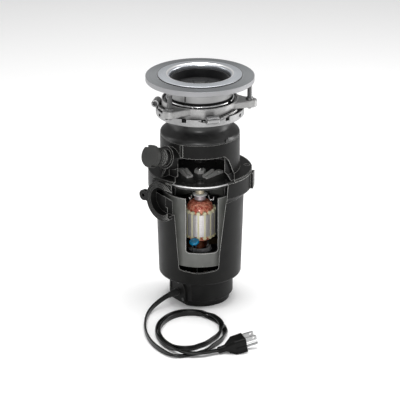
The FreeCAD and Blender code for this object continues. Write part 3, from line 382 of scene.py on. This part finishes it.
LOOKS = {
    # sink mount
    "polished_steel": flange_look(),
    "gasket_rubber": rubber("gasket_rubber", (0.006, 0.006, 0.006), (0.014, 0.014, 0.014)),
    # edge: a machined edge brightened as a painted highlight
    "satin_zinc": turned_metal("satin_zinc", (0.16, 0.167, 0.173), (0.215, 0.222, 0.228), 0.5, 0.7,
                               side=(0.36, 0.36, 0.37), edge=(0.62, 0.62, 0.63)),
    "spring_steel": spring_look(),
    # painted highlight along the ring's edges, painted shade in its crevices
    "cast_zinc": metal("cast_zinc", (0.3, 0.3, 0.298), (0.44, 0.435, 0.43), 0.42, depth=0.00006,
                       edge=(0.85, 0.85, 0.84), edge_width=0.0011, metallic=0.75, shadow=0.006),
    "bolt_steel": metal("bolt_steel", (0.16, 0.16, 0.16), (0.32, 0.32, 0.32), 0.38, (200, 200, 2000)),
    # painted highlight along the ring's edges, painted shade in its crevices
    "pressed_steel": metal("pressed_steel", (0.3, 0.3, 0.3), (0.42, 0.42, 0.42), 0.42,
                           edge=(0.9, 0.9, 0.9), edge_width=0.0008, metallic=0.7, shadow=0.005),
    "guard_rubber": rubber("guard_rubber", (0.004, 0.004, 0.005), (0.012, 0.012, 0.013), 0.5),

    # housings
    "dome_plastic": plastic("dome_plastic", (0.005, 0.005, 0.0049), (0.008, 0.008, 0.0077), 0.36,
                            depth=0.00002, specular=0.6),
    "housing_plastic": plastic("housing_plastic", BLACK, BLACK_LIGHT, edge=CUT_EDGE_AND_HIGHLIGHT),
    "chamber_plastic": plastic("chamber_plastic", (0.008, 0.008, 0.008), (0.02, 0.02, 0.02), 0.35,
                               edge=CUT_EDGE_AND_HIGHLIGHT),
    "cap_plastic": plastic("cap_plastic", (0.034, 0.034, 0.033), (0.046, 0.046, 0.044), 0.5,
                           edge=(0.2, 0.2, 0.195)),
    "base_plastic": plastic("base_plastic", (0.006, 0.006, 0.006), (0.01, 0.01, 0.0096), 0.45,
                            edge=(0.06, 0.06, 0.058)),
    "dark_screw": metal("dark_screw", (0.05, 0.05, 0.05), (0.12, 0.12, 0.12), 0.4),
    "cover_screw": metal("cover_screw", (0.1, 0.1, 0.1), (0.2, 0.2, 0.2), 0.45),
    "card_plastic": plastic("card_plastic", (0.05, 0.03, 0.02), (0.08, 0.05, 0.03), 0.45),
    "reset_red": plastic("reset_red", (0.5, 0.02, 0.012), (0.62, 0.03, 0.018), 0.25, coat=0.5),

    # grind parts
    "chamber_steel": metal("chamber_steel", (0.05, 0.05, 0.05), (0.12, 0.12, 0.117), 0.4, metallic=0.4),
    "table_steel": turntable_look(),
    # painted highlight along the lugs' edges
    "lug_steel": metal("lug_steel", (0.45, 0.45, 0.44), (0.8, 0.8, 0.78), 0.35, edge=(0.95, 0.95, 0.95),
                       metallic=0.35),

    # motor
    "frame_black": plastic("frame_black", (0.006, 0.006, 0.006), (0.011, 0.011, 0.011), 0.5),
    "bearing_steel": metal("bearing_steel", (0.5, 0.5, 0.5), (0.7, 0.7, 0.7), 0.25),
    "can_grey": can_look(),
    "yoke_steel": metal("yoke_steel", (0.03, 0.03, 0.03), (0.08, 0.08, 0.08), 0.45),
    "ferrite": plastic("ferrite", (0.015, 0.015, 0.017), (0.04, 0.04, 0.042), 0.6, 700.0),
    "carbon": plastic("carbon", (0.012, 0.012, 0.012), (0.035, 0.035, 0.035), 0.55, 2500.0),
    "card_grey": card_look(),
    "brush_brass": metal("brush_brass", (0.03, 0.022, 0.012), (0.07, 0.05, 0.028), 0.5),
    "varistor_blue": varistor_look(),
    "shaft_steel": shaft_look(),
    "sleeve_bronze": turned_metal("sleeve_bronze", (0.62, 0.52, 0.36), (0.92, 0.84, 0.66), 0.25, 0.3),
    "white_washer": plastic("white_washer", (0.82, 0.82, 0.82), (0.93, 0.93, 0.93), 0.3, specular=0.5),
    "spacer_metal": turned_metal("spacer_metal", (0.42, 0.34, 0.37), (0.7, 0.6, 0.63), 0.32, 0.4),
    "laminations": lamination_look(),
    "slot_paper": plastic("slot_paper", (0.74, 0.69, 0.42), (0.9, 0.87, 0.62), 0.5, 1200.0, specular=0.35),
    "red_copper": wire_look(),
    "copper_bars": metal("copper_bars", (0.3, 0.09, 0.05), (0.55, 0.24, 0.14), 0.35),

    # cord
    "cord_jacket": rubber("cord_jacket", (0.002, 0.0023, 0.0022), (0.0045, 0.005, 0.0048), 0.28, 0.0, 0.3),
    "plug_plastic": rubber("plug_plastic", (0.002, 0.002, 0.002), (0.004, 0.004, 0.004), 0.35, 0.0, 0.16),
    "blade_nickel": metal("blade_nickel", (0.3, 0.3, 0.3), (0.5, 0.5, 0.5), 0.3,
                          edge=(0.2, 0.2, 0.2), edge_width=0.0006),
}

SLOT_OF = {row["node"]: row["material_slot"] for row in frame["record"]["subparts"]}
for node_name, cad in frame["nodes"].items():
    cad.data.materials.clear()
    cad.data.materials.append(LOOKS[SLOT_OF[node_name]])


# ---- building pieces ------------------------------------------------------------------------------
def piece(name, vertices, faces, slot, body="root"):
    mesh = bpy.data.meshes.new(name)
    mesh.from_pydata([tuple(v) for v in vertices], [], faces)
    mesh.validate()
    mesh.update()
    for polygon in mesh.polygons:
        polygon.use_smooth = True
    mesh.materials.append(LOOKS[slot])
    made = bpy.data.objects.new(name, mesh)
    bpy.context.scene.collection.objects.link(made)
    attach(made, body)
    return made


def skin(rings):
    """Faces between equal rings of points, closed at both ends."""
    count = len(rings[0])
    vertices = [point for ring in rings for point in ring]
    faces = []
    for k in range(len(rings) - 1):
        for i in range(count):
            j = (i + 1) % count
            faces.append((k * count + i, k * count + j, (k + 1) * count + j, (k + 1) * count + i))
    faces.append(tuple(reversed(range(count))))
    last = (len(rings) - 1) * count
    faces.append(tuple(last + i for i in range(count)))
    return vertices, faces


def set_spline(spline, points):
    """Makes a new spline smooth between control points, and end at the first and the last."""
    spline.points.add(len(points) - 1)
    for target, point in zip(spline.points, points):
        target.co = (*[c * MM for c in point], 1.0)
    spline.order_u = 3
    spline.use_endpoint_u = True


# ---- cord -----------------------------------------------------------------------------------------
# A flat cord that lies on its edge. Where it crosses itself, both runs lie flat, one on the other.
# Millimetres. Each point of its route is x, y, height above the lowest that its lean allows, and
# lean in degrees.
CORD_WIDTH = 7.4
CORD_THICK = 3.6
CORES = 3
CORE_GROOVE = 0.24             # share of the thickness lost between two cores
FLAT_SHARE = 0.8               # the grooves stay this far in from the rounded edges
CORNERS = 0.55                 # 1 is an ellipse, 0 a box
SECTION_POINTS = 30
FLOOR_GAP = 0.05
LAP = CORD_THICK + 0.15        # lift of a run that lies on another
EXIT = (-32.28, -24.8, 15.4)
LEAD = [(-37.6, -28.8, 11.5, 0), (-46.6, -35.2, 9.5, 0), (-55.5, -42.4, 6.1, 0), (-63.5, -51.5, 2.7, 0),
        (-69.6, -63.5, 0.5, 0), (-73.2, -79.5, 0, 0), (-74.7, -99.0, 0, 0), (-74.4, -119.0, 0, 0),
        (-71.4, -139.5, 0, 0), (-65.6, -160.5, 0, 0), (-57.0, -178.0, 0, 0), (-47.5, -191.5, 0, 8),
        (-37.5, -199.2, 0, 45), (-27.0, -200.8, 0, 90), (-17.0, -197.6, 0, 90), (-8.5, -193.8, 0, 90)]
TURNS_CENTRE = (-12.0, -125.0)
TURNS_HALF = (45.0, 58.0)
TURNS_FROM, TURNS_TO, TURN_STEPS = -78.0, 604.0, 56
# how far the loose turns stray outwards from the oval, by angle
STRAY = [(-78, 8.6), (-66, 5.0), (-56, 3.3), (-44, 1.9), (-30, 2.0), (-13, 1.4), (15, 0.6), (45, -2.0),
         (62, -2.8), (88, -2.8), (150, -2.6), (180, -2.0), (205, -1.6), (225, 0.4), (240, 2.0), (252, 1.0),
         (267, -2.1), (292, -8.2), (321, -9.8), (352, -6.0), (372, -2.2), (392, -0.6), (424, 0.8),
         (448, 2.2), (468, 3.8), (510, 2.2), (540, 2.2), (565, 2.6), (585, 4.4), (604, 8.2)]
# lean and lift of the turns, by angle: flat under the crossing, then flat over it
LEAN = [(-78, 90), (-48, 0), (-22, 0), (6, 90), (58, 90), (80, 180), (350, 180), (374, 270), (412, 270),
        (436, 360), (590, 360), (604, 385)]
LIFT = [(-78, 0), (348, 0), (370, LAP), (414, LAP), (436, 0), (594, 0), (604, 1.6)]
TAIL_LEAN = 450                # flat, and a full turn on from the lead's 90
TAIL = [(-25.0, -194.2, LAP, 440), (-15.0, -198.6, LAP, TAIL_LEAN), (-4.5, -199.2, 3.5, TAIL_LEAN),
        (6.0, -196.6, 3.2, TAIL_LEAN), (16.4, -191.4, 2.8, TAIL_LEAN)]
PLUG_START = (25.0, -188.4, 4.8)


def flat_section():
    """Around a flat cord: (across, up) points with a shallow groove between its cores."""
    outline = []
    for k in range(SECTION_POINTS):
        a = 2 * math.pi * k / SECTION_POINTS
        up = math.sin(a)
        corner = abs(math.cos(a)) ** CORNERS * math.copysign(1, math.cos(a))
        height = up * CORD_WIDTH / 2
        groove = 0.5 + 0.5 * math.cos(2 * math.pi * CORES * (height + CORD_WIDTH / 2) / CORD_WIDTH)
        depth = 1.0 - CORE_GROOVE * groove * (abs(up) < FLAT_SHARE)
        outline.append((corner * CORD_THICK / 2 * depth, height))
    return outline


CORD_SECTION = flat_section()


def eased(table, angle):
    """A value between the table's rows, with a smooth start and end at each row."""
    for (a0, v0), (a1, v1) in zip(table, table[1:]):
        if a0 <= angle <= a1:
            t = (angle - a0) / (a1 - a0)
            return v0 + (v1 - v0) * t * t * (3 - 2 * t)
    return table[-1][1]


def rest_height(lean):
    """The centre line's height when the leaning cord lies on the floor."""
    a = math.radians(lean)
    return max(up * math.cos(a) + across * math.sin(a) for across, up in CORD_SECTION) + FLOOR_GAP


def loose_turns():
    points = []
    for k in range(TURN_STEPS + 1):
        angle = TURNS_FROM + k * (TURNS_TO - TURNS_FROM) / TURN_STEPS
        out = eased(STRAY, angle)
        a = math.radians(angle)
        points.append((TURNS_CENTRE[0] + (TURNS_HALF[0] + out) * math.cos(a),
                       TURNS_CENTRE[1] + (TURNS_HALF[1] + out) * math.sin(a),
                       eased(LIFT, angle), eased(LEAN, angle)))
    return points


def spline_points(points):
    """Points along the smooth line that has these control points."""
    curve = bpy.data.curves.new("route", "CURVE")
    curve.dimensions = "3D"
    curve.resolution_u = 8
    set_spline(curve.splines.new("NURBS"), points)
    holder = bpy.data.objects.new("route", curve)
    line = bpy.data.meshes.new_from_object(holder)
    along = [v.co.copy() for v in line.vertices]
    bpy.data.objects.remove(holder)
    return along


def swept(along, outline_at, leans=None):
    """Rings of a section along a line, upright or leaning by these degrees."""
    rings = []
    count = len(along)
    for i, point in enumerate(along):
        ahead = along[min(i + 1, count - 1)] - along[max(i - 1, 0)]
        heading = ahead.normalized()
        level = Vector((0, 0, 1)).cross(heading).normalized()
        plumb = heading.cross(level)
        lean = math.radians(leans[i]) if leans else 0.0
        side = level * math.cos(lean) + plumb * math.sin(lean)
        up = plumb * math.cos(lean) - level * math.sin(lean)
        rings.append([point + side * across * MM + up * height * MM for across, height in outline_at(i)])
    return skin(rings)


laid = LEAD + loose_turns() + TAIL
route = [EXIT] + [(x, y, rest_height(lean) + lift) for x, y, lift, lean in laid] + [PLUG_START]
lean_route = [(0, 0, 0)] + [(lean, 0, 0) for x, y, lift, lean in laid] + [(TAIL_LEAN, 0, 0)]
cord_line = spline_points(route)
cord_leans = [point.x / MM for point in spline_points(lean_route)]
cord = piece("mains_cord", *swept(cord_line, lambda i: CORD_SECTION, cord_leans), "cord_jacket")
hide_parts("cord_lead", "cord_coil")


# ---- strain relief --------------------------------------------------------------------------------
# How far the sleeve reaches out along the cord and in through the wall, in metres, and its section
# in millimetres.
RELIEF_OUT = 0.016
RELIEF_IN = (0.008, 0.004, 0.0017)
BORE_R = 4.4
ROOT_HALF = (4.9, 5.2)         # half thickness and half width, at the wall and at the tip
TIP_HALF = (2.1, 4.1)
RIB = 0.35
RIBS_END = 0.9                 # share of the sleeve that is ribbed


def ellipse(half_thick, half_wide):
    turn = [2 * math.pi * k / SECTION_POINTS for k in range(SECTION_POINTS)]
    return [(half_thick * math.cos(a), half_wide * math.sin(a)) for a in turn]


def strain_relief():
    """A tapered sleeve: round and ribbed at the housing, hugging the flat cord at its tip."""
    start = cord_line[0]
    heading = (cord_line[1] - start).normalized()
    inside = [start - heading * depth for depth in RELIEF_IN]
    outside = []
    reach = 0.0
    for before, after in zip(cord_line, cord_line[1:]):
        outside.append(before)
        reach += (after - before).length
        if reach > RELIEF_OUT:
            break

    def outline(i):
        step = i - len(inside)
        if step < 0:
            return ellipse(BORE_R, BORE_R)
        share = step / (len(outside) - 1)
        rib = RIB if step % 4 < 2 and share < RIBS_END else 0.0
        return ellipse(*[root * (1 - share) + tip * share + rib for root, tip in zip(ROOT_HALF, TIP_HALF)])

    made = piece("strain_relief_sleeve", *swept(inside + outside, outline), "gasket_rubber")
    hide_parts("strain_relief")
    return made


relief = strain_relief()


# ---- windings -------------------------------------------------------------------------------------
# Millimetres, about the unit's axis.
SLOT_COUNT = 15
SLOT_STEP = 360.0 / SLOT_COUNT
FIRST_SLOT = -96.0
COIL_PITCH = 7                 # slots spanned by one coil
WIRES_PER_COIL = 8
WIRE_R = 0.6
WIRE_POINTS = 11
SLOT_R = 18.6                  # where a wire leaves its slot
CROWN_R = 21.2                 # where the crown of the bundle meets the core
CORE_TOP = 129.4
CORE_BOTTOM = 95.2
INNER_TOP = [(17.8, 128.6), (18.6, 132.0), (17.4, 136.4), (13.4, 140.6), (8.6, 142.4), (5.6, 142.6)]
INNER_BOTTOM = [(5.6, 86.0), (9.5, 86.2), (13.6, 88.4), (17.2, 92.4), (17.6, 96.0)]
rng = random.Random(7)


def wire_points(coil, wire, base_z, crown, shaft_side, up):
    """A wire's way out of one slot, round the shaft and into another."""
    layer = coil / (SLOT_COUNT - 1)
    spread = rng.uniform(-2.2, 2.2)
    near = shaft_side + 1.0 + 4.6 * rng.random()
    sink = 1.9 * rng.random() + 0.9 * (1 - layer)
    points = []
    for k in range(WIRE_POINTS):
        t = k / (WIRE_POINTS - 1)
        bow = math.sin(math.pi * t)
        azimuth = math.radians(FIRST_SLOT + SLOT_STEP * (coil + COIL_PITCH * t) + spread * (1 - 0.4 * bow))
        r = SLOT_R - (SLOT_R - near) * bow ** 1.3
        dome = crown * math.sqrt(max(1 - (r / CROWN_R) ** 2, 0.0))
        z = base_z + up * max(dome - sink, 0.4) * min(1.0, 5.0 * bow)
        r += 0.35 * math.sin(9 * t + wire + coil)
        points.append((r * math.cos(azimuth), r * math.sin(azimuth), z))
    return points


def end_turns(name, node, base_z, crown, shaft_side, up):
    """The wire bundles at one end of the armature."""
    curve = bpy.data.curves.new(name, "CURVE")
    curve.dimensions = "3D"
    curve.bevel_depth = WIRE_R * MM
    curve.bevel_resolution = 1
    curve.resolution_u = 3
    for coil in range(SLOT_COUNT):
        for wire in range(WIRES_PER_COIL):
            set_spline(curve.splines.new("NURBS"), wire_points(coil, wire, base_z, crown, shaft_side, up))
    curve.materials.append(LOOKS["red_copper"])
    made = bpy.data.objects.new(name, curve)
    bpy.context.scene.collection.objects.link(made)
    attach(made, "rotor")
    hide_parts(node)


def inner_bundle(name, profile, steps=64):
    """The solid heart of a bundle, turned about the axis, behind the wires on its surface."""
    turn = [2 * math.pi * k / steps for k in range(steps)]
    rings = [[Vector((r * math.cos(a), r * math.sin(a), z)) * MM for a in turn] for r, z in profile]
    piece(name, *skin(rings), "red_copper", "rotor")


end_turns("end_turns_top", "windings_top", CORE_TOP, crown=16.0, shaft_side=7.6, up=1)
inner_bundle("winding_core_top", INNER_TOP)
end_turns("end_turns_bottom", "windings_bottom", CORE_BOTTOM, crown=10.4, shaft_side=8.2, up=-1)
inner_bundle("winding_core_bottom", INNER_BOTTOM)


# ---- floor, light and camera ----------------------------------------------------------------------
FLOOR_HALF = 8.0
MIDDLE = (0, 0, 0.16)
# name, place, target, width, height and power
LIGHTS = [("overhead", (0.0, 0.1, 1.9), MIDDLE, 1.5, 1.5, 37),
          ("right_box", (1.15, 0.15, 0.5), MIDDLE, 0.3, 1.0, 7),
          ("left_box", (-1.2, 0.1, 0.55), MIDDLE, 0.3, 1.0, 2.6),
          ("front_box", (-0.15, -2.0, 0.62), (0, 0, 0.15), 0.55, 0.4, 13)]
SKY_STRENGTH = 0.3
CAMERA_DISTANCE = 2.898
CAMERA_ELEVATION = math.radians(21.8)
AIM = Vector((0, 0, 0.143))


def floor():
    mesh = bpy.data.meshes.new("studio_floor")
    corners = [(-1, -1), (1, -1), (1, 1), (-1, 1)]
    mesh.from_pydata([(x * FLOOR_HALF, y * FLOOR_HALF, 0) for x, y in corners], [], [(0, 1, 2, 3)])
    made = bpy.data.objects.new("studio_floor", mesh)
    material, tree, shader, place = new_material("studio_floor", roughness=0.6, Specular_IOR_Level=0.2)
    shader.inputs["Base Color"].default_value = (1.0, 1.0, 1.0, 1.0)
    mesh.materials.append(material)
    bpy.context.scene.collection.objects.link(made)


def put_facing(made, place, target):
    """Places a light or a camera and turns it to the target."""
    made.location = place
    made.rotation_mode = "QUATERNION"
    made.rotation_quaternion = (Vector(target) - Vector(place)).to_track_quat("-Z", "Y")
    bpy.context.scene.collection.objects.link(made)


def area_light(name, place, target, width, height, power):
    data = bpy.data.lights.new(name, "AREA")
    data.shape = "RECTANGLE"
    data.size = width
    data.size_y = height
    data.energy = power
    put_facing(bpy.data.objects.new(name, data), place, target)


def sky():
    world = bpy.data.worlds.new("studio")
    world.use_nodes = True
    background = world.node_tree.nodes["Background"]
    background.inputs["Color"].default_value = (1, 1, 1, 1)
    background.inputs["Strength"].default_value = SKY_STRENGTH
    bpy.context.scene.world = world
    bpy.context.scene.view_settings.view_transform = "Standard"


def camera():
    data = bpy.data.cameras.new("camera")
    data.sensor_width = 36.0
    data.lens = 189.0
    made = bpy.data.objects.new("camera", data)
    back = Vector((0, -math.cos(CAMERA_ELEVATION), math.sin(CAMERA_ELEVATION)))
    put_facing(made, AIM + back * CAMERA_DISTANCE, AIM)
    bpy.context.scene.camera = made


floor()
for light in LIGHTS:
    area_light(*light)
sky()
camera()
